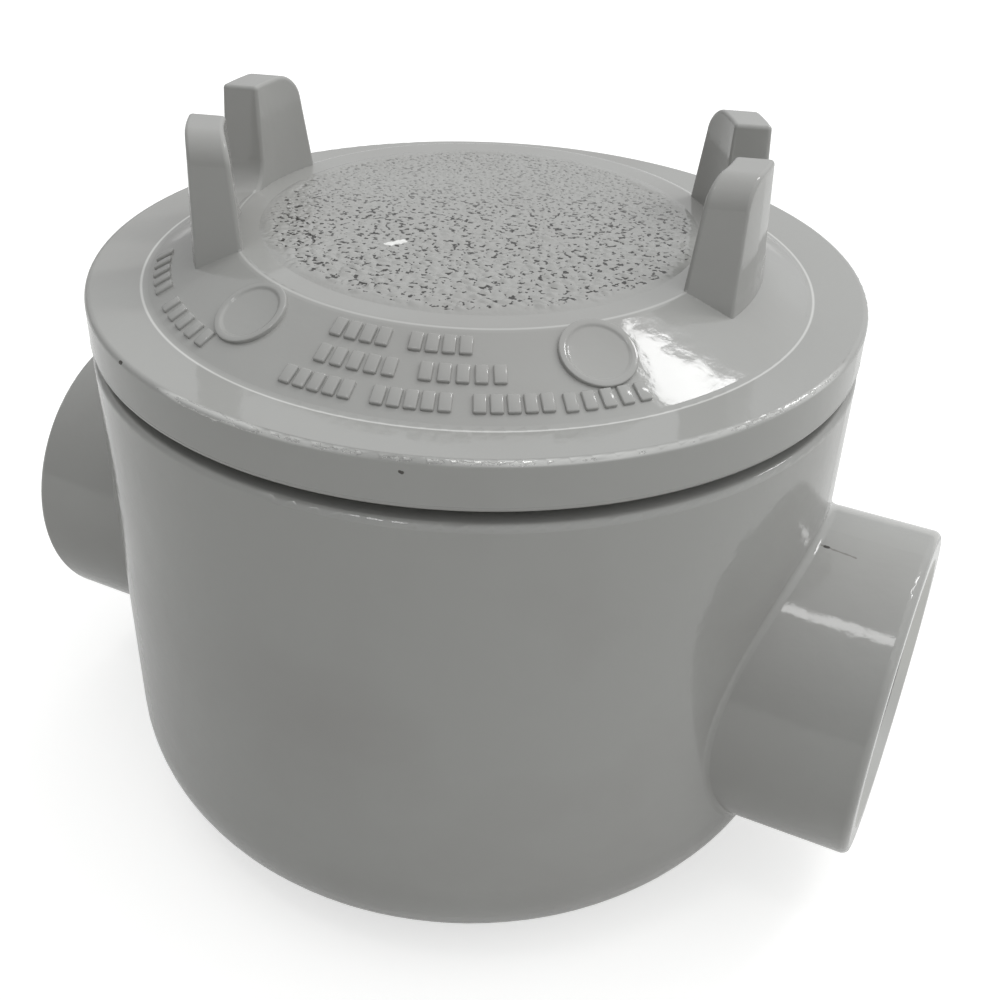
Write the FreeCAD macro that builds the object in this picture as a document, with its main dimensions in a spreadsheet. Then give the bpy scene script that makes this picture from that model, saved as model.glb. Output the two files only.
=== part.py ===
# Explosion-proof junction box: a cast pot with two conduit hubs and a screw cover with turning lugs.
# Millimetres, +Z up. The origin is the centre of the flat base, and X runs through both hubs.
import FreeCAD
import Part
import Sketcher
import math
import os

doc = FreeCAD.newDocument("junction_box")
sheet = doc.addObject("Spreadsheet::Sheet", "sizes")

SIZES = [
    # Cast body
    ("body_radius", 47.5, "outside of the pot and of the cover's rim"),
    ("body_height", 69.5, "base to the face under the cover"),
    ("body_wall", 5, "side wall"),
    ("body_floor", 6, "floor"),
    ("base_round", 16.5, "outside corner at the base"),
    ("cavity_round", 11.5, "inside corner at the floor"),
    ("mouth_edge", 0.8, "outside edge of the mouth"),
    ("mouth_wall", 5.75, "wall at the cover thread"),
    ("land_depth", 18, "threaded land below the mouth"),
    ("lead_in", 1.2, "chamfer where a thread starts"),
    # Conduit hubs
    ("hub_radius", 21.3, "outside of a hub"),
    ("hub_height", 31.1, "hub axis above the base"),
    ("hub_reach", 60.7, "hub end from the box axis"),
    ("hub_edge", 1, "rounded hub end"),
    ("hub_root", 0.9, "fillet between hub and wall"),
    ("hub_thread_radius", 16.5, "threaded wall of a hub"),
    ("hub_thread_depth", 16.7, "hub end to the integral bushing"),
    ("bushing_radius", 13.3, "smooth throat that guards the wires"),
    # Earthing boss, screw and washer
    ("boss_radius", 5.5, "boss on the cavity floor"),
    ("boss_rise", 4, "boss above the floor"),
    ("boss_setback", 6, "boss to the cavity wall"),
    ("screw_radius", 2.4, "screw shank"),
    ("screw_fit", 0.1, "shank to its hole and to the washer"),
    ("screw_grip", 6.5, "shank inside the boss"),
    ("screw_spare", 0.6, "shank end to the bottom of its hole"),
    ("head_across", 8, "hexagon across its flats"),
    ("head_height", 3.2, "hexagon head"),
    ("slot_width", 1.3, "driver slot"),
    ("slot_depth", 1.5, "driver slot"),
    ("washer_radius", 5.2, "washer outside"),
    ("washer_thickness", 1.1, "washer"),
    # Screw cover
    ("cover_gap", 1.5, "dark gap between body and rim"),
    ("rim_thickness", 5.9, "rim of the cover"),
    ("rim_edge", 0.7, "rounded edges of the rim"),
    ("ledge_width", 6.9, "flat ring inside the rim's edge"),
    ("ledge_drop", 0.5, "fall of that ring towards the cone"),
    ("ledge_round", 1.5, "corner between ring and cone"),
    ("cone_run", 10.75, "cone, along the radius"),
    ("crown_rise", 5.3, "flat crown above the rim"),
    ("crown_edge", 2, "rounded edge of the crown"),
    ("crown_thickness", 6.3, "crown"),
    ("crown_inset", 3, "hollow's roof inside the crown's edge"),
    ("thread_room", 1.25, "room for both thread forms, on the radius"),
    ("spigot_length", 15, "threaded skirt below the rim"),
    ("spigot_wall", 5.6, "wall of the threaded skirt"),
    # Turning lugs
    ("lug_azimuth", 17.4, "line of the turning bar, from the hubs"),
    ("lug_gap", 10.3, "room for the bar, at the slot's floor"),
    ("slot_sink", 0.4, "slot's floor below the crown"),
    ("slot_round", 4, "rounded corners of the slot's floor"),
    ("slot_draft", 3, "draft of the slot's sides, in degrees"),
    ("lug_width", 11, "a lug at its foot, along the rim"),
    ("lug_draft", 6.5, "draft of the far sides, in degrees"),
    ("lug_rise", 12.5, "level top above the crown"),
    ("lug_round", 3.6, "rounded far corner of the top"),
    ("lug_inset", 0.8, "inner face inside the crown's edge, at the foot"),
    ("lug_depth", 5.75, "a lug, along the radius at its foot"),
    ("lug_lean_inner", 0.8, "lean of the face towards the crown"),
    ("lug_lean_outer", 0.6, "lean of the face towards the rim"),
    ("lug_edge", 0.5, "rounded edges of a lug"),
    # Seal
    ("ring_section", 2.9, "thickness of the O-ring"),
    ("ring_inset", 2.05, "middle of the O-ring outside the body thread"),
    ("ring_fit", 0.05, "O-ring to the faces above and below it"),
    ("groove_fit", 0.15, "O-ring to the sides of its groove"),
]

for row, (alias, number, note) in enumerate(SIZES, 1):
    sheet.set(f"A{row}", alias)
    sheet.set(f"B{row}", str(number))
    sheet.set(f"C{row}", note)
    sheet.setAlias(f"B{row}", alias)
doc.recompute()

# Levels and radii that several pieces share
CAVITY_RADIUS = "(sizes.body_radius - sizes.body_wall)"
MOUTH_RADIUS = "(sizes.body_radius - sizes.mouth_wall)"
SPIGOT_RADIUS = f"({MOUTH_RADIUS} - sizes.thread_room)"
RING_RADIUS = f"({MOUTH_RADIUS} + sizes.ring_inset)"
CROWN_RADIUS = "(sizes.body_radius - sizes.ledge_width - sizes.cone_run)"
RIM_BOTTOM = "(sizes.body_height + sizes.cover_gap)"
RIM_TOP = f"({RIM_BOTTOM} + sizes.rim_thickness)"
CROWN_TOP = f"({RIM_TOP} + sizes.crown_rise)"
BOSS_OFFSET = f"({CAVITY_RADIUS} - sizes.boss_setback - sizes.boss_radius)"
BOSS_TOP = "(sizes.body_floor + sizes.boss_rise)"
HEAD_SEAT = f"({BOSS_TOP} + sizes.washer_thickness)"
TOUCH = 1e-3  # points closer than this are taken as one


def value(expression):
    """The number that an expression of the sheet gives."""
    return float(sheet.evalExpression(expression))


def hold(sketch, geometry, point, across, up):
    """Tie one point of a sketch to a pair of expressions, or to an axis where one is zero."""
    for kind, axis, expression in (("DistanceX", -2, across), ("DistanceY", -1, up)):
        if expression == "0":
            sketch.addConstraint(Sketcher.Constraint("PointOnObject", geometry, point, axis))
            continue
        tie = Sketcher.Constraint(kind, -1, 1, geometry, point, value(expression))
        index = sketch.addConstraint(tie)
        sketch.setExpression(f"Constraints[{index}]", expression)


def outline(sketch, corners):
    """Closed outline through corners (across, up) or, where a corner is round, (across, up, radius)."""
    count = len(corners)
    spots = [FreeCAD.Vector(value(corner[0]), value(corner[1]), 0) for corner in corners]
    arrive = []
    leave = []
    middle = []
    for index, spot in enumerate(spots):
        back = (spots[index - 1] - spot).normalize()
        ahead = (spots[(index + 1) % count] - spot).normalize()
        radius = value(corners[index][2]) if len(corners[index]) > 2 else 0
        half = back.getAngle(ahead) / 2
        setback = radius / math.tan(half)
        inward = (back + ahead).normalize() if radius else FreeCAD.Vector()
        arrive.append(spot + back * setback)
        leave.append(spot + ahead * setback)
        middle.append(spot + inward * (radius / math.sin(half) - radius))
    lines = []
    for index in range(count):
        run = Part.LineSegment(leave[index], arrive[(index + 1) % count])
        lines.append(sketch.addGeometry(run, False))
    for index, corner in enumerate(corners):
        last, following = lines[index - 1], lines[index]
        if len(corner) == 2:
            sketch.addConstraint(Sketcher.Constraint("Coincident", last, 2, following, 1))
            hold(sketch, following, 1, corner[0], corner[1])
            continue
        arc = sketch.addGeometry(Part.Arc(arrive[index], middle[index], leave[index]), False)
        first = 1 if sketch.getPoint(arc, 1).isEqual(arrive[index], TOUCH) else 2
        sketch.addConstraint(Sketcher.Constraint("Tangent", last, 2, arc, first))
        sketch.addConstraint(Sketcher.Constraint("Tangent", arc, 3 - first, following, 1))
        size = sketch.addConstraint(Sketcher.Constraint("Radius", arc, value(corner[2])))
        sketch.setExpression(f"Constraints[{size}]", corner[2])
        point = sketch.addGeometry(Part.Point(spots[index]), True)
        sketch.addConstraint(Sketcher.Constraint("PointOnObject", point, 1, last))
        sketch.addConstraint(Sketcher.Constraint("PointOnObject", point, 1, following))
        hold(sketch, point, 1, corner[0], corner[1])


def disc(sketch, radius, across="0", up="0"):
    """Circle of a given radius about a point."""
    spot = FreeCAD.Vector(value(across), value(up), 0)
    circle = sketch.addGeometry(Part.Circle(spot, FreeCAD.Vector(0, 0, 1), value(radius)), False)
    size = sketch.addConstraint(Sketcher.Constraint("Radius", circle, value(radius)))
    sketch.setExpression(f"Constraints[{size}]", radius)
    hold(sketch, circle, 3, across, up)


def new_body(name):
    body = doc.addObject("PartDesign::Body", name)
    body.Label = name
    return body


def new_sketch(body, name, role, level=None):
    """Sketch on one of the body's origin planes, raised to a level where one is given."""
    sketch = body.newObject("Sketcher::SketchObject", name)
    plane = next(item for item in body.Origin.OriginFeatures if item.Role == role)
    sketch.AttachmentSupport = (plane, [""])
    sketch.MapMode = "FlatFace"
    if level:
        sketch.setExpression("AttachmentOffset.Base.z", level)
    doc.recompute()
    return sketch


def turn(body, kind, name, sketch, axis="V_Axis"):
    """Full revolution, added (Revolution) or cut (Groove), about an axis or an edge of its sketch."""
    doc.recompute()
    feature = body.newObject(f"PartDesign::{kind}", name)
    feature.Profile = sketch
    feature.ReferenceAxis = (sketch, [axis])
    feature.Angle = 360
    sketch.Visibility = False
    doc.recompute()
    return feature


def push(body, kind, name, sketch, length):
    """Straight Pad or Pocket of a sketch."""
    doc.recompute()
    feature = body.newObject(f"PartDesign::{kind}", name)
    feature.Profile = sketch
    feature.setExpression("Length", length)
    doc.recompute()
    return feature


def fillet(body, name, base, edges, radius):
    """Round the edges of a feature that are in a list of edge numbers."""
    feature = body.newObject("PartDesign::Fillet", name)
    feature.Base = (base, [f"Edge{number}" for number in edges])
    feature.setExpression("Radius", radius)
    doc.recompute()
    return feature


def edges_where(shape, test):
    """Numbers of the edges whose sampled points pass a test."""
    return [number for number, edge in enumerate(shape.Edges, 1) if test(edge.discretize(7))]


def make_body():
    """Cast pot: turned outside, two hubs on one axis, threaded mouth, cavity, throats and earthing boss."""
    body = new_body("body")
    pot = new_sketch(body, "pot_outline", "XZ_Plane")
    outline(pot, [("0", "0"),
                  ("sizes.body_radius", "0", "sizes.base_round"),
                  ("sizes.body_radius", "sizes.body_height", "sizes.mouth_edge"),
                  ("0", "sizes.body_height")])
    turn(body, "Revolution", "pot", pot)

    hubs = new_sketch(body, "hub_outline", "XZ_Plane")
    hub_top = "sizes.hub_height + sizes.hub_radius"
    outline(hubs, [("-sizes.hub_reach", "sizes.hub_height"),
                   ("sizes.hub_reach", "sizes.hub_height"),
                   ("sizes.hub_reach", hub_top, "sizes.hub_edge"),
                   ("-sizes.hub_reach", hub_top, "sizes.hub_edge")])
    barrel = turn(body, "Revolution", "hubs", hubs, "Edge1")

    hub_height, hub_radius = value("sizes.hub_height"), value("sizes.hub_radius")
    hub_straight = value("sizes.hub_reach - sizes.hub_edge") - TOUCH

    def on_hub_root(points):
        on_barrel = all(abs(math.hypot(p.y, p.z - hub_height) - hub_radius) < TOUCH for p in points)
        return on_barrel and all(abs(p.x) < hub_straight for p in points)

    roots = edges_where(barrel.Shape, on_hub_root)
    fillet(body, "hub_roots", barrel, roots, "sizes.hub_root")

    cavity = new_sketch(body, "cavity_outline", "XZ_Plane")
    land_end = "sizes.body_height - sizes.land_depth"
    outline(cavity, [("0", "sizes.body_floor"),
                     (CAVITY_RADIUS, "sizes.body_floor", "sizes.cavity_round"),
                     (CAVITY_RADIUS, f"{land_end} - sizes.lead_in"),
                     (MOUTH_RADIUS, land_end),
                     (MOUTH_RADIUS, "sizes.body_height - sizes.lead_in"),
                     (f"{MOUTH_RADIUS} + sizes.lead_in", "sizes.body_height"),
                     ("0", "sizes.body_height")])
    turn(body, "Groove", "cavity", cavity)

    throats = new_sketch(body, "throat_outline", "XZ_Plane")
    thread = "sizes.hub_height + sizes.hub_thread_radius"
    throat = "sizes.hub_height + sizes.bushing_radius"
    stop = "(sizes.hub_reach - sizes.hub_thread_depth)"
    outline(throats, [("-sizes.hub_reach", "sizes.hub_height"),
                      ("sizes.hub_reach", "sizes.hub_height"),
                      ("sizes.hub_reach", f"{thread} + sizes.lead_in"),
                      ("sizes.hub_reach - sizes.lead_in", thread),
                      (stop, thread),
                      (stop, throat),
                      (f"-{stop}", throat),
                      (f"-{stop}", thread),
                      ("-sizes.hub_reach + sizes.lead_in", thread),
                      ("-sizes.hub_reach", f"{thread} + sizes.lead_in")])
    turn(body, "Groove", "throats", throats, "Edge1")

    boss = new_sketch(body, "boss_outline", "XY_Plane", "sizes.body_floor / 2")
    disc(boss, "sizes.boss_radius", up=BOSS_OFFSET)
    push(body, "Pad", "boss", boss, f"{BOSS_TOP} - sizes.body_floor / 2")
    hole = new_sketch(body, "screw_hole_outline", "XY_Plane", BOSS_TOP)
    disc(hole, "sizes.screw_radius + sizes.screw_fit", up=BOSS_OFFSET)
    push(body, "Pocket", "screw_hole", hole, "sizes.screw_grip + sizes.screw_spare")
    return body


def plain_sketch(name, yaw):
    """Upright sketch whose own across direction points along a yaw angle."""
    sketch = doc.addObject("Sketcher::SketchObject", name)
    sketch.Placement = FreeCAD.Placement(FreeCAD.Vector(), FreeCAD.Rotation(value(yaw), 0, 90))
    sketch.setExpression("Placement.Rotation", f"rotation({yaw}; 0; 90)")
    doc.recompute()
    return sketch


def spun(name, sketch):
    """Solid of revolution of an upright sketch about Z."""
    doc.recompute()
    solid = doc.addObject("Part::Revolution", name)
    solid.Source = sketch
    solid.Axis = FreeCAD.Vector(0, 0, 1)
    solid.Angle = 360
    solid.Solid = True
    doc.recompute()
    return solid


def make_lugs():
    """Two pairs of cast lugs: a leaning ring cut to shape, with a round-bottomed slot for the bar in each pair."""
    top = f"({CROWN_TOP} + sizes.lug_rise)"
    inner = f"({CROWN_RADIUS} - sizes.lug_inset)"
    outer = f"({inner} + sizes.lug_depth)"
    section = plain_sketch("lug_ring_outline", "0")
    outline(section, [(inner, RIM_TOP),
                      (f"{inner} + sizes.lug_lean_inner", top),
                      (f"{outer} - sizes.lug_lean_outer", top),
                      (outer, RIM_TOP)])
    ring = spun("lug_ring", section)

    arches = plain_sketch("lug_arch_outline", "90 + sizes.lug_azimuth")
    floor = f"({CROWN_TOP} - sizes.slot_sink)"
    near = "(sizes.lug_gap / 2)"
    near_top = f"({near} + ({top} - {floor}) * tan(sizes.slot_draft))"
    far = f"({near} + sizes.lug_width)"
    far_top = f"({far} - ({top} - {RIM_TOP}) * tan(sizes.lug_draft))"
    half = [(far, RIM_TOP),
            (far_top, top, "sizes.lug_round"),
            (near_top, top),
            (near, floor, "sizes.slot_round")]
    outline(arches, half + [(f"-{corner[0]}", *corner[1:]) for corner in reversed(half)])
    doc.recompute()
    blank = doc.addObject("Part::Extrusion", "lug_arches")
    blank.Base = arches
    blank.DirMode = "Normal"
    blank.Symmetric = True
    blank.Solid = True
    blank.setExpression("LengthFwd", "2 * sizes.body_radius")
    doc.recompute()

    lugs = doc.addObject("Part::Common", "lugs")
    lugs.Base = ring
    lugs.Tool = blank
    doc.recompute()

    cast = new_body("cast_lugs")
    cast.BaseFeature = lugs
    doc.recompute()
    foot_level = value(RIM_TOP) + TOUCH

    def above_foot(points):
        return max(p.z for p in points) > foot_level

    fillet(cast, "lug_edges", cast.Tip, edges_where(cast.Shape, above_foot), "sizes.lug_edge")
    return cast


def make_cover():
    """Cast screw cover: rim, ring, cone and crown over a hollow threaded skirt, with lugs round the crown."""
    profile = plain_sketch("cover_outline", "0")
    ledge_radius = "(sizes.body_radius - sizes.ledge_width)"
    groove_half = "(sizes.ring_section / 2 + sizes.groove_fit)"
    groove_top = "(sizes.body_height + sizes.ring_section + 2 * sizes.ring_fit)"
    spigot_end = f"({RIM_BOTTOM} - sizes.spigot_length)"
    skirt_inside = f"({SPIGOT_RADIUS} - sizes.spigot_wall)"
    roof = f"({CROWN_TOP} - sizes.crown_thickness)"
    outline(profile, [("0", roof),
                      ("0", CROWN_TOP),
                      (CROWN_RADIUS, CROWN_TOP, "sizes.crown_edge"),
                      (ledge_radius, f"{RIM_TOP} - sizes.ledge_drop", "sizes.ledge_round"),
                      ("sizes.body_radius", RIM_TOP, "sizes.rim_edge"),
                      ("sizes.body_radius", RIM_BOTTOM, "sizes.rim_edge"),
                      (f"{RING_RADIUS} + {groove_half}", RIM_BOTTOM),
                      (f"{RING_RADIUS} + {groove_half}", groove_top),
                      (f"{RING_RADIUS} - {groove_half}", groove_top),
                      (f"{RING_RADIUS} - {groove_half}", RIM_BOTTOM),
                      (SPIGOT_RADIUS, RIM_BOTTOM),
                      (SPIGOT_RADIUS, f"{spigot_end} + sizes.lead_in"),
                      (f"{SPIGOT_RADIUS} - sizes.lead_in", spigot_end),
                      (skirt_inside, spigot_end),
                      (skirt_inside, f"{roof} - sizes.crown_rise"),
                      (f"{CROWN_RADIUS} - sizes.crown_inset", roof)])
    shell = spun("cover_shell", profile)
    blank = doc.addObject("Part::MultiFuse", "cover_blank")
    blank.Shapes = [shell, make_lugs()]
    blank.Refine = True
    doc.recompute()

    cover = new_body("cover")
    cover.BaseFeature = blank
    doc.recompute()
    return cover


def make_o_ring():
    """Seal between the body's top face and the groove under the rim."""
    ring = doc.addObject("Part::Torus", "cover_o_ring")
    ring.setExpression("Radius1", RING_RADIUS)
    ring.setExpression("Radius2", "sizes.ring_section / 2")
    ring.setExpression("Placement.Base.z", "sizes.body_height + sizes.ring_fit + sizes.ring_section / 2")
    doc.recompute()
    return ring


def make_screw():
    """Slotted hexagon screw, standing on its washer."""
    screw = new_body("ground_screw")
    screw.setExpression("Placement.Base.y", BOSS_OFFSET)
    shank = new_sketch(screw, "shank_outline", "XY_Plane", f"{BOSS_TOP} - sizes.screw_grip")
    disc(shank, "sizes.screw_radius")
    push(screw, "Pad", "shank", shank, "sizes.screw_grip + sizes.washer_thickness + sizes.head_height / 2")
    head = new_sketch(screw, "head_outline", "XY_Plane", HEAD_SEAT)
    half = "sizes.head_across / 2"
    corner = "sizes.head_across / sqrt(3)"
    outline(head, [(half, f"{corner} / 2"), ("0", corner), (f"-{half}", f"{corner} / 2"),
                   (f"-{half}", f"-{corner} / 2"), ("0", f"-{corner}"), (half, f"-{corner} / 2")])
    push(screw, "Pad", "head", head, "sizes.head_height")
    slot = new_sketch(screw, "slot_outline", "XY_Plane", f"{HEAD_SEAT} + sizes.head_height")
    side = "sizes.slot_width / 2"
    outline(slot, [("sizes.head_across", side), ("-sizes.head_across", side),
                   ("-sizes.head_across", f"-{side}"), ("sizes.head_across", f"-{side}")])
    push(screw, "Pocket", "slot", slot, "sizes.slot_depth")
    return screw


def make_washer():
    """Flat washer on the earthing boss."""
    washer = new_body("ground_washer")
    washer.setExpression("Placement.Base.y", BOSS_OFFSET)
    ring = new_sketch(washer, "washer_outline", "XY_Plane", BOSS_TOP)
    disc(ring, "sizes.washer_radius")
    disc(ring, "sizes.screw_radius + sizes.screw_fit")
    push(washer, "Pad", "washer", ring, "sizes.washer_thickness")
    return washer


pieces = [make_body(), make_cover(), make_o_ring(), make_screw(), make_washer()]
doc.recompute()

for item in doc.Objects:
    if "Invalid" in item.State or "Error" in item.State:
        raise RuntimeError(f"{item.Label} did not build: {item.State}")
for piece in pieces:
    if piece.Shape.isNull() or not piece.Shape.isValid():
        raise RuntimeError(f"{piece.Label} has no valid shape")

os.makedirs("parts", exist_ok=True)
for piece in pieces:
    piece.Shape.exportStep(f"parts/{piece.Label}.step")
    print(piece.Label, len(piece.Shape.Solids), "solid, volume", round(piece.Shape.Volume, 1))
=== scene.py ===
import math

import bpy
from mathutils import Matrix, Vector, noise


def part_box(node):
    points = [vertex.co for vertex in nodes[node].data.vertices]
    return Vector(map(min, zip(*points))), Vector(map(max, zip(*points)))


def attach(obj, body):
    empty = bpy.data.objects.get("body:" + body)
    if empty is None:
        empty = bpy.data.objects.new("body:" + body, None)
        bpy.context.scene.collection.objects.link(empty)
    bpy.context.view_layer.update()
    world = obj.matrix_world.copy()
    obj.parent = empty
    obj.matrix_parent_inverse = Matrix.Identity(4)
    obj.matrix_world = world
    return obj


# Explosion-proof junction box: grey enamelled castings with a screw cover,
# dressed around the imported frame.
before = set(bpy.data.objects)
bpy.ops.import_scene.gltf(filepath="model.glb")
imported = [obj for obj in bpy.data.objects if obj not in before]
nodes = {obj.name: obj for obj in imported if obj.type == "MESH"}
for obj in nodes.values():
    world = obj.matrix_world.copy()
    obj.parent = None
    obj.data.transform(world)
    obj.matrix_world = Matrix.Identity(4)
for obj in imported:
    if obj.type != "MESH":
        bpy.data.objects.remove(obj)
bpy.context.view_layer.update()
print("frame loaded:", ", ".join(sorted(nodes)))

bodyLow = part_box("body")[0]
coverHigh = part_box("cover")[1]


def mm(length):
    return length / 1000  # the scene is in metres


def linear(hexColour):
    # sRGB hex to the linear colour that a shader takes
    channels = [int(hexColour[place:place + 2], 16) / 255 for place in (0, 2, 4)]
    return [c / 12.92 if c <= 0.04045 else ((c + 0.055) / 1.055) ** 2.4 for c in channels] + [1]


def addNode(tree, kind, links=None, output=0, **settings):
    # a new node's output; a link is a number, a colour or another node's output
    node = tree.nodes.new("ShaderNode" + kind)
    for name, setting in settings.items():
        setattr(node, name, setting)
    for name, source in (links or {}).items():
        if isinstance(source, bpy.types.NodeSocket):
            tree.links.new(source, node.inputs[name])
        else:
            node.inputs[name].default_value = source
    return node.outputs[output]


def newMaterial(name):
    material = bpy.data.materials.new(name)
    material.use_nodes = True
    return material, material.node_tree, material.node_tree.nodes["Principled BSDF"]


# Camera, floor and light

view = {
    "place": (66.69, -136.10, 141.24),  # mm, from a fit to the photo
    "pan": 24.72,
    "tilt": 56.65,
    "roll": 2.23,
    "lens": 46.8,
    "sensor": 36,
    "nearest": 5,  # mm
}

floorCard = {
    "across": 4.0,  # metres
    "colour": "cececc",
    "roughness": 0.9,
    "specular": 0.1,
    "lift": 0.62,  # added for the eye only
}

air = {
    "colour": "fafbfc",
    "horizon": 0.1,  # light from the sides, more of it overhead and from the window's side
    "overhead": 1.16,
    "windowSide": 0.5,
    "windowWay": 40,  # azimuth
    "seen": 1.0,  # strength of the background to the eye
    "glossShare": 0.4,  # how far a gloss sees the floor and the air as the eye does
}

lamps = {
    # azimuth and elevation as seen from the box, in degrees; distance and size in metres; power in watts
    "windowLamp": {"azimuth": 53, "elevation": 49, "distance": 1.1, "size": (0.11, 0.36), "power": 1.5},
    "ceilingLamp": {"azimuth": -100, "elevation": 70, "distance": 1.2, "size": (0.26, 0.13), "power": 0.7},
}


def addCamera():
    bpy.ops.object.camera_add()
    camera = bpy.context.object
    camera.name = "photoCamera"
    camera.data.lens = view["lens"]
    camera.data.sensor_width = view["sensor"]
    camera.data.clip_start = mm(view["nearest"])
    turn = Matrix.Rotation(math.radians(view["pan"]), 4, "Z")
    turn = turn @ Matrix.Rotation(math.radians(view["tilt"]), 4, "X")
    turn = turn @ Matrix.Rotation(math.radians(view["roll"]), 4, "Z")
    camera.matrix_world = Matrix.Translation(mm(Vector(view["place"]))) @ turn
    bpy.context.scene.camera = camera


def addLamps():
    middle = Vector((0, 0, (bodyLow.z + coverHigh.z) / 2))
    for name, lamp in lamps.items():
        across = math.radians(lamp["azimuth"])
        up = math.radians(lamp["elevation"])
        way = Vector((math.cos(across) * math.cos(up), math.sin(across) * math.cos(up), math.sin(up)))
        bpy.ops.object.light_add(type="AREA", location=middle + way * lamp["distance"])
        light = bpy.context.object
        light.name = name
        light.data.shape = "RECTANGLE"
        light.data.size, light.data.size_y = lamp["size"]
        light.data.energy = lamp["power"]
        light.rotation_euler = (middle - light.location).to_track_quat("-Z", "Y").to_euler()


def seenDirectly(tree):
    # 1 for what the camera sees, less for what a gloss or a clear piece does,
    # 0 for light that falls on things
    path = addNode(tree, "LightPath").node.outputs
    mirrored = {0: path["Is Glossy Ray"], 1: path["Is Transmission Ray"]}
    gloss = addNode(tree, "Math", mirrored, operation="MAXIMUM")
    gloss = addNode(tree, "Math", {0: gloss, 1: air["glossShare"]}, operation="MULTIPLY")
    return addNode(tree, "Math", {0: path["Is Camera Ray"], 1: gloss}, operation="MAXIMUM")


def paleFloor():
    # matt white card: lifted to white for the eye, with the shadow left on it
    material, tree, shader = newMaterial("matt_white_card")
    shader.inputs["Base Color"].default_value = linear(floorCard["colour"])
    shader.inputs["Roughness"].default_value = floorCard["roughness"]
    shader.inputs["Specular IOR Level"].default_value = floorCard["specular"]
    shader.inputs["Emission Color"].default_value = linear("ffffff")
    lift = addNode(tree, "Math", {0: seenDirectly(tree), 1: floorCard["lift"]}, operation="MULTIPLY")
    tree.links.new(lift, shader.inputs["Emission Strength"])
    return material


def addStage():
    bpy.ops.mesh.primitive_plane_add(size=floorCard["across"])
    floor = bpy.context.object
    floor.name = "floorCard"
    floor.data.materials.append(paleFloor())


def lightWorld():
    world = bpy.data.worlds.new("studioAir")
    bpy.context.scene.world = world
    world.use_nodes = True
    tree = world.node_tree
    back = tree.nodes["Background"]
    back.inputs["Color"].default_value = linear(air["colour"])
    way = addNode(tree, "TexCoord", output="Generated")
    up = addNode(tree, "SeparateXYZ", {0: way}, output="Z")
    up = addNode(tree, "Math", {0: up, 1: 0.0}, operation="MAXIMUM")
    turn = math.radians(air["windowWay"])
    window = (air["windowSide"] * math.cos(turn), air["windowSide"] * math.sin(turn), 0)
    side = addNode(tree, "VectorMath", {0: way, 1: window}, output="Value", operation="DOT_PRODUCT")
    light = addNode(tree, "Math", {0: up, 1: air["overhead"], 2: side}, operation="MULTIPLY_ADD")
    light = addNode(tree, "Math", {0: light, 1: air["horizon"]}, operation="ADD")
    light = addNode(tree, "Math", {0: light, 1: 0.0}, operation="MAXIMUM")
    strength = addNode(tree, "Mix", {0: seenDirectly(tree), 2: light, 3: air["seen"]})
    tree.links.new(strength, back.inputs["Strength"])


bpy.ops.object.select_all(action="DESELECT")
bpy.context.scene.view_settings.view_transform = "Standard"
addCamera()
addLamps()
addStage()
lightWorld()
print("camera, lamps and floor set")

# Sizes that the pieces share with the castings, in mm

casting = {
    "hubHeight": 31.1,
    "hubStop": 44.0,
    "landLow": 51.5,
    "rimRadius": 47.5,
    "rimThickness": 5.9,
    "crownRadius": 29.85,
    "crownRise": 5.3,
    "ledgeRadius": 40.6,
    "ledgeDrop": 0.5,
    "lugRise": 12.5,
}

crownTop = coverHigh.z * 1000 - casting["lugRise"]
rimTop = crownTop - casting["crownRise"]
rimLow = rimTop - casting["rimThickness"]
coneDrop = casting["crownRise"] + casting["ledgeDrop"]
coneRun = casting["ledgeRadius"] - casting["crownRadius"]
coneSlope = math.atan2(coneDrop, coneRun)


def onCone(radius, azimuth):
    # a place on the cover's cone: its own X runs down the slope, Y round the cover, Z straight out
    height = crownTop - (radius - casting["crownRadius"]) * coneDrop / coneRun
    spot = Matrix.Translation((mm(radius), 0, mm(height)))
    return Matrix.Rotation(math.radians(azimuth), 4, "Z") @ spot @ Matrix.Rotation(coneSlope, 4, "Y")


# Materials

enamelLook = {
    "colour": "a9a9a6",
    "shade": "a3a29f",  # thin coat and handling, in slow patches
    "patchSize": 26,  # mm
    "patchFrom": 0.45,
    "patchTo": 0.75,
    "roughness": 0.09,
    "ior": 1.5,
    "castSize": 3.6,  # mm, waves of the sand casting under it
    "coat": 0.06,  # mm, its step at bare metal
}

# mm: height of the casting's waves, then size and height of the sprayed coat's orange peel
bodySkin = {"waves": 0.06, "peelSize": 1.1, "peel": 0.012}
coverSkin = {"waves": 0.055, "peelSize": 1.6, "peel": 0.004}
pebbleSkin = {"waves": 0.02, "peelSize": 0.5, "peel": 0.035}

bareMetal = {
    "colour": "c4c4c1",
    "roughness": 0.34,
    "mouthRadius": 43.0,  # mm, inside this and above the land's foot
    "mouthBelow": 1.2,
    "boreRadius": 17.7,  # inside this and outside the hub's stop
    "boreBelow": 0.3,
    "skirtRadius": 46.8,  # inside this and under the rim
    "skirtFrom": 0.1,
    "skirtTo": 0.05,
    "soft": 0.1,  # width of the paint's edge
}

chipAndHighlightLook = {
    "reach": 0.8,  # mm from the middle of the rim's rounded upper edge
    "inset": 0.2,
    "middle": 0.1,
    "size": 2.2,
    "raggedness": 0.7,
    "cluster": 19,
    "clusterShare": 0.7,
    "edgeShare": 0.4,
    "wornFrom": 1.27,
    "wornTo": 1.29,
    "margin": 0.05,
    "bared": 0.65,  # share of bare metal in a chip
    # this side also bounds the painted rim highlight
    "side": -56,  # azimuth of the side that has been knocked, about 50 degrees each way
    "sideFrom": 0.56,
    "sideTo": 0.68,
}

# painted highlight on the rim's upper edge: its pale colour and its stretches
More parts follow.
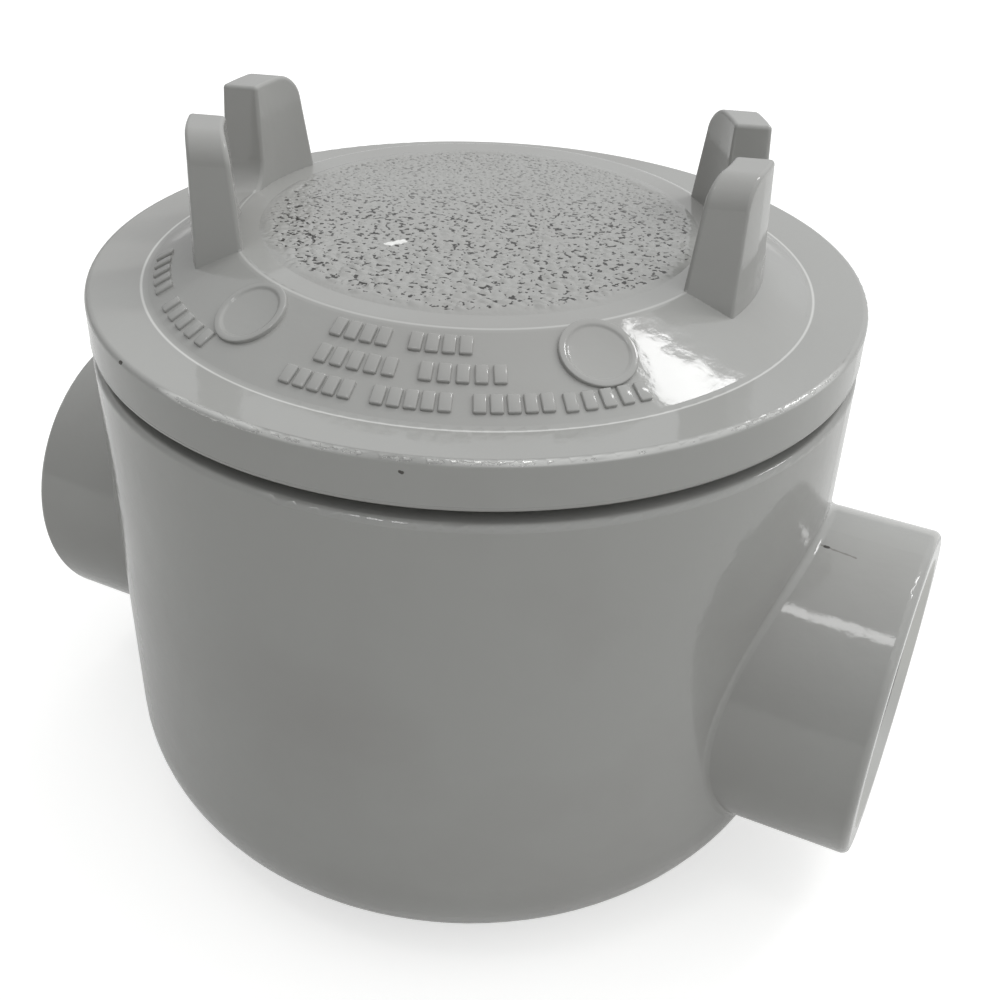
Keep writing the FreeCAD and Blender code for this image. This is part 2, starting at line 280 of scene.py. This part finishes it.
rimHighlightLook = {
    "colour": "d2d2cf",
    "patchSize": 34,  # mm
    "patchFrom": 0.42,
    "patchTo": 0.55,
    "edgeFrom": 0.45,
    "edgeTo": 0.75,
}

# mm: painted highlight lines at the cone's foot and on the crown's edge
footHighlightLine = {"radius": casting["ledgeRadius"] + 0.4, "height": rimTop - 0.4, "colour": "d2d2cf"}
crownHighlightLine = {"radius": casting["crownRadius"] - 0.05, "height": crownTop - 0.1, "colour": "bfbfbc"}
# half a line's width, and its reach up and down
highlightLineForm = {"outer": 0.2, "inner": 0.08, "upTo": 0.35, "upFrom": 0.25}

# mm: pits in the rim's edge, and a pit and a crease on the right hub
rimPit = {"start": (14.3, -45.3, 75.3), "end": (14.5, -45.2, 75.2),
          "width": 0.5, "ragged": 0.4, "colour": "4a4742"}
leftPit = {"start": (-21.4, -42.4, 76.6), "end": (-21.1, -42.5, 76.6),
           "width": 0.5, "ragged": 0.4, "colour": "4a4742"}
hubPit = {"start": (48.8, -3.4, 52.1), "end": (49.1, -3.4, 52.1),
          "width": 0.55, "ragged": 0.3, "colour": "3d3a36"}
hubCrease = {"start": (48.3, -3.3, 52.1), "end": (52.6, -3.9, 52.0),
             "width": 0.3, "ragged": 0.5, "colour": "8a8884"}
scarForm = {"ragSize": 0.7, "core": 0.4}  # mm, and the share of the width on each side that is fully marked


def upright(tree, place):
    # distance from the cover's axis, and height
    flat = addNode(tree, "VectorMath", {0: place, 1: (1, 1, 0)}, operation="MULTIPLY")
    radius = addNode(tree, "VectorMath", {0: flat}, output="Value", operation="LENGTH")
    return radius, addNode(tree, "SeparateXYZ", {0: place}, output="Z")


def machinedBody(tree, place):
    # the threads of the mouth and of the hubs are cut after painting, so they are bare
    radius, height = upright(tree, place)
    soft = bareMetal["soft"]
    wide = bareMetal["mouthRadius"]
    foot = casting["landLow"] - bareMetal["mouthBelow"]
    mouth = addNode(tree, "MapRange", {0: radius, 1: mm(wide + soft), 2: mm(wide)})
    mouth = addNode(tree, "MapRange", {0: height, 1: mm(foot - soft), 2: mm(foot), 4: mouth})
    axis = addNode(tree, "VectorMath", {0: place, 1: (0, 0, mm(casting["hubHeight"]))}, operation="SUBTRACT")
    section = addNode(tree, "VectorMath", {0: axis, 1: (0, 1, 1)}, operation="MULTIPLY")
    bore = addNode(tree, "VectorMath", {0: section}, output="Value", operation="LENGTH")
    along = addNode(tree, "SeparateXYZ", {0: place}, output="X")
    along = addNode(tree, "Math", {0: along}, operation="ABSOLUTE")
    wide = bareMetal["boreRadius"]
    foot = casting["hubStop"] - bareMetal["boreBelow"]
    hub = addNode(tree, "MapRange", {0: bore, 1: mm(wide + soft), 2: mm(wide)})
    hub = addNode(tree, "MapRange", {0: along, 1: mm(foot - soft), 2: mm(foot), 4: hub})
    return addNode(tree, "Math", {0: mouth, 1: hub}, operation="MAXIMUM")


def nearRimEdge(tree, place):
    # 1 at the middle of the rim's rounded upper edge, 0 a little way off and on the sides that are unworn; the
    # painted rim highlight keeps to the same stretch
    radius, height = upright(tree, place)
    middleRadius = mm(casting["rimRadius"] - chipAndHighlightLook["inset"])
    inward = addNode(tree, "Math", {0: radius, 1: middleRadius}, operation="SUBTRACT")
    down = addNode(tree, "Math", {0: height, 1: mm(rimTop - chipAndHighlightLook["inset"])}, operation="SUBTRACT")
    corner = addNode(tree, "CombineXYZ", {0: inward, 1: down})
    edge = addNode(tree, "VectorMath", {0: corner}, output="Value", operation="LENGTH")
    turn = math.radians(chipAndHighlightLook["side"])
    way = (math.cos(turn), math.sin(turn), 0)
    flat = addNode(tree, "VectorMath", {0: place, 1: (1, 1, 0)}, operation="MULTIPLY")
    out = addNode(tree, "VectorMath", {0: flat}, operation="NORMALIZE")
    toward = addNode(tree, "VectorMath", {0: out, 1: way}, output="Value", operation="DOT_PRODUCT")
    # the side that bounds the chips bounds the painted rim highlight too
    knocked = addNode(tree, "MapRange", {0: toward, 1: chipAndHighlightLook["sideFrom"], 2: chipAndHighlightLook["sideTo"]})
    reach = {0: edge, 1: mm(chipAndHighlightLook["reach"]), 2: mm(chipAndHighlightLook["middle"]), 4: knocked}
    return addNode(tree, "MapRange", reach)


def paintedRimHighlight(tree, place):
    # painted highlight: the rim's upper edge painted pale, in stretches
    slow = addNode(tree, "TexNoise", {"Vector": place, "Scale": 1000 / rimHighlightLook["patchSize"], "Detail": 2})
    stretch = addNode(tree, "MapRange", {0: slow, 1: rimHighlightLook["patchFrom"], 2: rimHighlightLook["patchTo"]})
    near = nearRimEdge(tree, place)
    return addNode(tree, "MapRange", {0: near, 1: rimHighlightLook["edgeFrom"], 2: rimHighlightLook["edgeTo"], 4: stretch})


def scar(look):
    # a short ragged line on a casting
    def mark(tree, place):
        first = mm(Vector(look["start"]))
        along = mm(Vector(look["end"])) - first
        unit = along / along.length_squared
        off = addNode(tree, "VectorMath", {0: place, 1: first}, operation="SUBTRACT")
        share = addNode(tree, "VectorMath", {0: off, 1: unit}, output="Value", operation="DOT_PRODUCT")
        share = addNode(tree, "Clamp", {0: share})
        nearest = addNode(tree, "VectorMath", {0: along, "Scale": share}, operation="SCALE")
        far = addNode(tree, "VectorMath", {0: off, 1: nearest}, output="Value", operation="DISTANCE")
        rag = addNode(tree, "TexNoise", {"Vector": place, "Scale": 1000 / scarForm["ragSize"], "Detail": 2})
        rag = addNode(tree, "Math", {0: rag, 1: 0.5}, operation="SUBTRACT")
        far = addNode(tree, "Math", {0: rag, 1: mm(look["ragged"]), 2: far}, operation="MULTIPLY_ADD")
        core = look["width"] * scarForm["core"]
        return addNode(tree, "MapRange", {0: far, 1: mm(look["width"] / 2), 2: mm(core)})
    return mark, look["colour"]


def paintedHighlightLine(look):
    # a thin pale line round the cover at a given radius and height, a painted highlight
    def mark(tree, place):
        radius, height = upright(tree, place)
        aside = addNode(tree, "Math", {0: radius, 1: mm(look["radius"])}, operation="SUBTRACT")
        aside = addNode(tree, "Math", {0: aside}, operation="ABSOLUTE")
        above = addNode(tree, "Math", {0: height, 1: mm(look["height"])}, operation="SUBTRACT")
        above = addNode(tree, "Math", {0: above}, operation="ABSOLUTE")
        line = addNode(tree, "MapRange", {0: aside, 1: mm(highlightLineForm["outer"]), 2: mm(highlightLineForm["inner"])})
        level = {0: above, 1: mm(highlightLineForm["upTo"]), 2: mm(highlightLineForm["upFrom"]), 4: line}
        return addNode(tree, "MapRange", level)
    return mark, look["colour"]


def machinedCover(tree, place):
    # bare threaded skirt, and enamel knocked off along the rim's upper edge
    radius, height = upright(tree, place)
    wide = bareMetal["skirtRadius"]
    under = {0: height, 1: mm(rimLow + bareMetal["skirtFrom"]), 2: mm(rimLow + bareMetal["skirtTo"])}
    skirt = addNode(tree, "MapRange", under)
    skirt = addNode(tree, "MapRange", {0: radius, 1: mm(wide + bareMetal["soft"]), 2: mm(wide), 4: skirt})
    near = nearRimEdge(tree, place)
    grain = {"Vector": place, "Scale": 1000 / chipAndHighlightLook["size"], "Detail": 6,
             "Roughness": chipAndHighlightLook["raggedness"]}
    fine = addNode(tree, "TexNoise", grain)
    slow = addNode(tree, "TexNoise", {"Vector": place, "Scale": 1000 / chipAndHighlightLook["cluster"]})
    worn = addNode(tree, "Math", {0: slow, 1: chipAndHighlightLook["clusterShare"], 2: fine}, operation="MULTIPLY_ADD")
    worn = addNode(tree, "Math", {0: near, 1: chipAndHighlightLook["edgeShare"], 2: worn}, operation="MULTIPLY_ADD")
    lost = {0: worn, 1: chipAndHighlightLook["wornFrom"], 2: chipAndHighlightLook["wornTo"], 4: chipAndHighlightLook["bared"]}
    chips = addNode(tree, "MapRange", lost)
    chips = addNode(tree, "MapRange", {0: near, 1: 0.0, 2: chipAndHighlightLook["margin"], 4: chips})
    return addNode(tree, "Math", {0: skirt, 1: chips}, operation="MAXIMUM")


def greyEnamel(name, bare, surface, marks):
    # baked enamel, sprayed on cast aluminium: light grey with a wet gloss and orange peel, bare where machined
    material, tree, shader = newMaterial(name)
    place = addNode(tree, "TexCoord", output="Object")
    metal = bare(tree, place)
    peel = addNode(tree, "TexNoise", {"Vector": place, "Scale": 1000 / surface["peelSize"], "Detail": 1})
    cast = addNode(tree, "TexNoise", {"Vector": place, "Scale": 1000 / enamelLook["castSize"], "Detail": 4})
    patch = addNode(tree, "TexNoise", {"Vector": place, "Scale": 1000 / enamelLook["patchSize"], "Detail": 3})
    thin = addNode(tree, "MapRange", {0: patch, 1: enamelLook["patchFrom"], 2: enamelLook["patchTo"]})
    layers = [(thin, enamelLook["shade"])]
    layers += [(mark(tree, place), colour) for mark, colour in marks]
    layers += [(metal, bareMetal["colour"])]
    paint = linear(enamelLook["colour"])
    for share, colour in layers:
        paint = addNode(tree, "Mix", {0: share, 6: paint, 7: linear(colour)}, output=2, data_type="RGBA")
    rough = addNode(tree, "MapRange", {0: metal, 3: enamelLook["roughness"], 4: bareMetal["roughness"]})
    waves = addNode(tree, "Bump", {"Height": cast, "Distance": mm(surface["waves"])})
    skin = addNode(tree, "Bump", {"Height": peel, "Distance": mm(surface["peel"]), "Normal": waves})
    step = {"Height": metal, "Distance": mm(enamelLook["coat"]), "Normal": skin}
    coat = addNode(tree, "Bump", step, invert=True)
    tree.links.new(paint, shader.inputs["Base Color"])
    tree.links.new(metal, shader.inputs["Metallic"])
    tree.links.new(rough, shader.inputs["Roughness"])
    tree.links.new(coat, shader.inputs["Normal"])
    shader.inputs["IOR"].default_value = enamelLook["ior"]
    return material


finishes = {
    # cut thread in cast aluminium: bright bare metal with fine tool lines across the light
    "machined_aluminium": {"dark": "a9a9a6", "light": "d0d0cd", "size": 0.5, "detail": 3,
                           "relief": 0.01, "metallic": 1, "roughness": 0.34},
    # moulded nitrile: black, matt, with a faint bloom
    "nitrile_rubber": {"dark": "19191a", "light": "2b2b2c", "size": 3.0, "detail": 4,
                       "relief": 0.01, "metallic": 0, "roughness": 0.62},
    # zinc plate on a steel fastener: satin, with the slight cloud that plating has, plain or dyed
    "green_dyed_zinc": {"dark": "4b8a5b", "light": "67a878", "size": 2.5, "detail": 4,
                        "relief": 0.008, "metallic": 1, "roughness": 0.36},
    "zinc_plate": {"dark": "b9b9b6", "light": "d6d6d3", "size": 2.5, "detail": 4,
                   "relief": 0.008, "metallic": 1, "roughness": 0.3},
}


def cloudedFinish(name):
    # two tones of one material in a fine cloud, with a relief that follows it; size and relief in mm
    look = finishes[name]
    material, tree, shader = newMaterial(name)
    place = addNode(tree, "TexCoord", output="Object")
    grain = {"Vector": place, "Scale": 1000 / look["size"], "Detail": look["detail"]}
    cloud = addNode(tree, "TexNoise", grain)
    tones = {0: cloud, 6: linear(look["dark"]), 7: linear(look["light"])}
    tone = addNode(tree, "Mix", tones, output=2, data_type="RGBA")
    relief = addNode(tree, "Bump", {"Height": cloud, "Distance": mm(look["relief"])})
    tree.links.new(tone, shader.inputs["Base Color"])
    tree.links.new(relief, shader.inputs["Normal"])
    shader.inputs["Metallic"].default_value = look["metallic"]
    shader.inputs["Roughness"].default_value = look["roughness"]
    return material


def dress(node, material):
    slots = nodes[node].data.materials
    slots.clear()
    slots.append(material)


# painted highlights on the rim's edge, the cone's foot and the crown's edge, with pits in the rim
coverMarks = [(paintedRimHighlight, rimHighlightLook["colour"])]
coverMarks += [paintedHighlightLine(footHighlightLine), paintedHighlightLine(crownHighlightLine), scar(rimPit), scar(leftPit)]
bodyMarks = [scar(hubCrease), scar(hubPit)]
coverEnamel = greyEnamel("grey_enamel_cover", machinedCover, coverSkin, coverMarks)
cutThread = cloudedFinish("machined_aluminium")
dress("body", greyEnamel("grey_enamel", machinedBody, bodySkin, bodyMarks))
dress("cover", coverEnamel)
dress("cover_o_ring", cloudedFinish("nitrile_rubber"))
dress("ground_screw", cloudedFinish("green_dyed_zinc"))
dress("ground_washer", cloudedFinish("zinc_plate"))
print("castings, seal and fasteners finished")


def onlySelect(thing):
    bpy.ops.object.select_all(action="DESELECT")
    thing.select_set(True)
    bpy.context.view_layer.objects.active = thing


def applyAll(thing):
    onlySelect(thing)
    for name in [modifier.name for modifier in thing.modifiers]:
        bpy.ops.object.modifier_apply(modifier=name)
    bpy.ops.object.transform_apply(location=True, rotation=True, scale=True)


def nothingPicked(kind):
    # edit mode's choice cleared, for a choice by vertex or by face to follow
    bpy.ops.object.mode_set(mode="EDIT")
    bpy.ops.mesh.select_mode(type=kind)
    bpy.ops.mesh.select_all(action="DESELECT")
    bpy.ops.object.mode_set(mode="OBJECT")


def cutAway(thing, unwanted):
    # deletes the points that the test picks
    nothingPicked("VERT")
    for vertex in thing.data.vertices:
        vertex.select = unwanted(vertex.co)
    bpy.ops.object.mode_set(mode="EDIT")
    bpy.ops.mesh.delete(type="VERT")
    bpy.ops.object.mode_set(mode="OBJECT")


def finishPiece(thing, body, slot, material, smoothTo):
    bpy.ops.object.shade_smooth_by_angle(angle=math.radians(smoothTo))
    thing.data.materials.clear()
    thing.data.materials.append(material)
    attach(thing, body)


# Pebbled crown

pebbles = {
    "radius": 27.7,  # mm, the plate's edge, sunk in the crown
    "step": 0.165,  # between the grid's points
    "rise": 0.38,  # tops above the plain crown
    "slopeFrom": 25.0,  # outside this the plate slopes into the crown
    "drop": 0.54,
    "border": 26.4,  # pebbles end about here, in bays
    "borderFade": 1.2,
    "bay": 4.5,
    "coarse": {"size": 1.3, "depth": 0.12, "steepness": 7.0},
    "fine": {"size": 0.66, "depth": 0.34, "steepness": 1.6},
    "facing": -65,  # the coarse side, as an azimuth
    "middleShare": 0.42,  # how coarse the crown's middle is
    "depth": 0.9,
    "smoothTo": 70,
}

# painted shade in the pebbles' crevices: its colour, from what depth it starts, and how it is broken up
creviceShade = {
    "colour": "211e1b",
    "lowFrom": 0.46,
    "lowTo": 0.74,
    "breakSize": 0.6,  # mm
    "breakFrom": 0.56,
    "breakTo": 0.6,
    "fineShare": 0.66,
    "coarseShare": 0.56,  # added on the coarse side
}

pebbleTop = crownTop + pebbles["rise"]
lostChip = {
    "start": (-5.85, -12.55, pebbleTop),  # mm
    "end": (-4.75, -10.85, pebbleTop),
    "width": 1.1,
    "ragged": 0.9,
    "colour": "f4f4f1",
}


def clamped(share):
    return min(max(share, 0), 1)


def pebbleTexture(name, size, steepness):
    cells = bpy.data.textures.new(name, "VORONOI")
    cells.noise_scale = mm(size)
    cells.weight_1 = -1
    cells.weight_2 = 1
    cells.noise_intensity = steepness
    return cells


def displace(thing, group, strength, texture=None):
    push = thing.modifiers.new(group, "DISPLACE")
    push.direction = "Z"
    push.vertex_group = group
    push.strength = mm(strength)
    push.mid_level = 0
    if texture:
        push.mid_level = 1  # tops stay level, crevices sink
        push.texture = texture
        push.texture_coords = "LOCAL"


def crevices(tree, place):
    # painted shade in the crevices, darker the deeper they are, in short broken lines
    low = addNode(tree, "Attribute", output="Fac", attribute_name="crevice")
    breaks = addNode(tree, "TexNoise", {"Vector": place, "Scale": 1000 / creviceShade["breakSize"], "Detail": 1})
    breaks = addNode(tree, "MapRange", {0: breaks, 1: creviceShade["breakFrom"], 2: creviceShade["breakTo"]})
    return addNode(tree, "MapRange", {0: low, 1: creviceShade["lowFrom"], 2: creviceShade["lowTo"], 4: breaks})


def addPebbles():
    across = 2 * pebbles["radius"]
    count = round(across / pebbles["step"])
    bpy.ops.mesh.primitive_grid_add(x_subdivisions=count, y_subdivisions=count, size=mm(across))
    plate = bpy.context.object
    plate.name = "pebbledCrown"
    cutAway(plate, lambda spot: spot.xy.length > mm(pebbles["radius"]))

    way = math.radians(pebbles["facing"])
    facing = Vector((math.cos(way), math.sin(way)))
    slope = pebbles["radius"] - pebbles["slopeFrom"]
    groups = {name: plate.vertex_groups.new(name=name) for name in ("coarse", "fine", "edge")}
    fronts = []
    for vertex in plate.data.vertices:
        spot = vertex.co.xy * 1000
        border = pebbles["border"] + noise.noise(spot.to_3d() / pebbles["bay"])
        inside = clamped((border - spot.length) / pebbles["borderFade"])
        front = clamped(spot.dot(facing) / pebbles["radius"] + pebbles["middleShare"])
        edge = clamped((spot.length - pebbles["slopeFrom"]) / slope)
        edge = edge * edge * (3 - 2 * edge)  # eased at both ends
        fronts.append(front)
        for name, weight in (("coarse", inside * front), ("fine", inside * (1 - front)), ("edge", edge)):
            groups[name].add([vertex.index], weight, "REPLACE")
    for name in ("coarse", "fine"):
        texture = pebbleTexture(name + "Pebbles", pebbles[name]["size"], pebbles[name]["steepness"])
        displace(plate, name, pebbles[name]["depth"], texture)
    applyAll(plate)
    # how deep each point lies, counting for more on the coarse side, for the painted crevice shade
    crevice = plate.data.attributes.new("crevice", "FLOAT", "POINT")
    for vertex, front in zip(plate.data.vertices, fronts):
        deep = pebbles["fine"]["depth"] + (pebbles["coarse"]["depth"] - pebbles["fine"]["depth"]) * front
        share = creviceShade["fineShare"] + creviceShade["coarseShare"] * front
        crevice.data[vertex.index].value = -vertex.co.z / mm(deep) * share

    displace(plate, "edge", -pebbles["drop"])
    applyAll(plate)
    bpy.ops.object.mode_set(mode="EDIT")
    bpy.ops.mesh.select_mode(type="EDGE")
    bpy.ops.mesh.select_all(action="DESELECT")
    bpy.ops.mesh.select_non_manifold()
    bpy.ops.mesh.extrude_edges_move()
    bpy.ops.object.mode_set(mode="OBJECT")
    for vertex in plate.data.vertices:
        if vertex.select:
            vertex.co.z = -mm(pebbles["depth"])
    bpy.ops.object.mode_set(mode="EDIT")
    bpy.ops.mesh.edge_face_add()
    bpy.ops.mesh.select_all(action="SELECT")
    bpy.ops.mesh.normals_make_consistent(inside=False)
    bpy.ops.object.mode_set(mode="OBJECT")
    plate.location.z = mm(pebbleTop)
    applyAll(plate)
    # painted crevice shade, and a pale lost chip
    marks = [(crevices, creviceShade["colour"]), scar(lostChip)]
    enamel = greyEnamel("grey_enamel_pebbled", machinedCover, pebbleSkin, marks)
    finishPiece(plate, "cover", "cover_enamel", enamel, pebbles["smoothTo"])


addPebbles()
print("crown pebbled")

# Rim's lower corner, turned finer than the casting's own facets

rimCorner = {
    "round": 0.7,  # mm
    "proud": 0.012,
    "thick": 0.25,
    "around": 480,  # segments
    "section": 48,
    "slack": 0.001,  # mm, for points that lie on the cut
    "smoothTo": 40,
}


def addRimCorner():
    middle = casting["rimRadius"] - rimCorner["round"]
    tube = rimCorner["round"] + rimCorner["proud"]
    bpy.ops.mesh.primitive_torus_add(major_radius=mm(middle), minor_radius=mm(tube),
                                     major_segments=rimCorner["around"], minor_segments=rimCorner["section"])
    corner = bpy.context.object
    corner.name = "rimLowerCorner"
    inner = mm(middle - rimCorner["slack"])
    cutAway(corner, lambda spot: spot.xy.length < inner or spot.z > mm(rimCorner["slack"]))
    thick = corner.modifiers.new("wall", "SOLIDIFY")
    thick.thickness = mm(rimCorner["thick"])
    thick.offset = -1
    corner.location.z = mm(rimLow + rimCorner["round"])
    applyAll(corner)
    finishPiece(corner, "cover", "cover_enamel", coverEnamel, rimCorner["smoothTo"])


addRimCorner()
print("rim corner turned")

# Raised marks of the casting: two blank discs and rows of plain tabs

discs = {
    "places": [(33.8, -110.4), (33.4, -42.0)],  # mm from the axis, azimuth
    "radius": 4.3,
    "around": 96,  # segments
    "rise": 0.4,
    "root": 0.8,  # depth inside the cone
    "border": 0.75,
    "dish": 0.22,
    "edge": 0.16,
}

tabs = {
    # mm from the axis, first and last azimuth, and how many stand between each pair of gaps
    "rows": [
        (31.8, -91, -66, (4, 4)),
        (34.9, -91, -60, (5, 5)),
        (38.0, -94.5, -53, (5, 5, 5)),
        (38.2, -49.5, -37.5, (5,)),
        (38.4, -150, -114, (5, 5)),
    ],
    "tall": 2.3,
    "wide": 1.4,
    "rise": 0.36,
    "root": 0.5,
    "edge": 0.2,
}

markEdges = {"segments": 3, "sharpFrom": 35, "smoothTo": 40}  # angles in degrees


def castMarks(model, edge, places, name):
    # one mark, modelled upright at the origin with its edges rounded, then copied to its places on the cone
    applyAll(model)
    bevel = model.modifiers.new("edges", "BEVEL")
    bevel.width = mm(edge)
    bevel.segments = markEdges["segments"]
    bevel.limit_method = "ANGLE"
    bevel.angle_limit = math.radians(markEdges["sharpFrom"])
    applyAll(model)
    copies = []
    for radius, azimuth in places:
        onlySelect(model)
        bpy.ops.object.duplicate()
        copies.append(bpy.context.object)
        copies[-1].matrix_world = onCone(radius, azimuth)
    bpy.data.objects.remove(model)
    for copy in copies:
        copy.select_set(True)
    bpy.ops.object.join()
    marks = bpy.context.object
    marks.name = name
    applyAll(marks)
    finishPiece(marks, "cover", "cover_enamel", coverEnamel, markEdges["smoothTo"])


def addDiscs():
    deep = discs["rise"] + discs["root"]
    bpy.ops.mesh.primitive_cylinder_add(vertices=discs["around"], radius=mm(discs["radius"]), depth=mm(deep))
    disc = bpy.context.object
    nothingPicked("FACE")
    for face in disc.data.polygons:
        face.select = face.normal.z > 0.9  # the top
    bpy.ops.object.mode_set(mode="EDIT")
    bpy.ops.mesh.inset(thickness=mm(discs["border"]))
    bpy.ops.mesh.inset(thickness=mm(discs["dish"]), depth=mm(-discs["dish"]))
    bpy.ops.object.mode_set(mode="OBJECT")
    disc.location.z = mm((discs["rise"] - discs["root"]) / 2)
    castMarks(disc, discs["edge"], discs["places"], "blankDiscs")


def tabPlaces():
    # evenly spaced places in each row, with one left empty between groups
    for radius, first, last, words in tabs["rows"]:
        step = (last - first) / (sum(words) + len(words) - 2)
        place = 0
        for word in words:
            for count in range(word):
                yield radius, first + step * (place + count)
            place += word + 1


def addTabs():
    bpy.ops.mesh.primitive_cube_add(size=1)
    tab = bpy.context.object
    tab.scale = (mm(tabs["tall"]), mm(tabs["wide"]), mm(tabs["rise"] + tabs["root"]))
    tab.location.z = mm((tabs["rise"] - tabs["root"]) / 2)
    castMarks(tab, tabs["edge"], tabPlaces(), "blankTabs")


addDiscs()
addTabs()
print("raised marks set")

# Screw threads

inch = 25.4
mouthStart = 53.0  # mm

# mm: the ridge's half width at its crest and at the wall
coverCut = {"tip": 0.14, "foot": 0.72, "pitch": inch / 12}
hubCut = {"tip": 0.16, "foot": 1.05, "pitch": inch / 11.5, "wall": 16.6, "crest": 15.1,
          "start": 45.3, "turns": 6, "body": "box", "slot": "enamel"}

threads = {
    # mm: wall that the ridge stands on, its crest, and its start; lay is a hub's way round, in degrees
    "mouthThread": {**coverCut, "wall": 41.85, "crest": 40.85, "turns": 7, "start": mouthStart,
                    "body": "box", "slot": "enamel"},
    "coverThread": {**coverCut, "wall": 40.4, "crest": 41.4, "turns": 5,
                    "start": mouthStart + 2.5 * coverCut["pitch"],  # its ridges lie between the mouth's
                    "body": "cover", "slot": "cover_enamel"},
    "rightHubThread": {**hubCut, "lay": 90},
    "leftHubThread": {**hubCut, "lay": -90},
}

ridgeForm = {
    "steps": 96,  # in a turn
    "runOut": 14,  # steps in which a ridge fades into its wall
    "least": 0.05,  # share of its height at the very end
    "smoothTo": 25,
}


def addThread(name, cut):
    bpy.ops.mesh.primitive_plane_add(size=1)
    ridge = bpy.context.object
    ridge.name = name
    section = [(cut["wall"], -cut["foot"]), (cut["crest"], -cut["tip"]),
               (cut["wall"], cut["foot"]), (cut["crest"], cut["tip"])]
    for vertex, (radius, up) in zip(ridge.data.vertices, section):
        vertex.co = (mm(radius), 0, mm(up))
    bpy.ops.object.mode_set(mode="EDIT")
    bpy.ops.mesh.select_all(action="SELECT")
    bpy.ops.mesh.delete(type="ONLY_FACE")
    bpy.ops.object.mode_set(mode="OBJECT")
    helix = ridge.modifiers.new("helix", "SCREW")
    helix.axis = "Z"
    helix.angle = math.tau
    helix.screw_offset = mm(cut["pitch"])
    helix.iterations = cut["turns"]
    helix.steps = ridgeForm["steps"]
    helix.render_steps = ridgeForm["steps"]
    applyAll(ridge)

    last = len(ridge.data.vertices) // len(section) - 1
    wall = mm(cut["wall"])
    for vertex in ridge.data.vertices:
        step = vertex.index // len(section)
        grown = min(step, last - step, ridgeForm["runOut"]) / ridgeForm["runOut"]
        radius = vertex.co.xy.length
        vertex.co.xy *= (wall + (radius - wall) * max(grown, ridgeForm["least"])) / radius
    bpy.ops.object.mode_set(mode="EDIT")
    bpy.ops.mesh.select_all(action="SELECT")
    bpy.ops.mesh.fill_holes(sides=8)
    bpy.ops.mesh.select_all(action="SELECT")
    bpy.ops.mesh.normals_make_consistent(inside=False)
    bpy.ops.object.mode_set(mode="OBJECT")
    along = Matrix.Translation((0, 0, mm(cut["start"])))
    if "lay" in cut:
        aside = Matrix.Translation((0, 0, mm(casting["hubHeight"])))
        along = aside @ Matrix.Rotation(math.radians(cut["lay"]), 4, "Y") @ along
    ridge.matrix_world = along
    applyAll(ridge)
    finishPiece(ridge, cut["body"], cut["slot"], cutThread, ridgeForm["smoothTo"])


for threadName, threadCut in threads.items():
    addThread(threadName, threadCut)
print("threads cut")
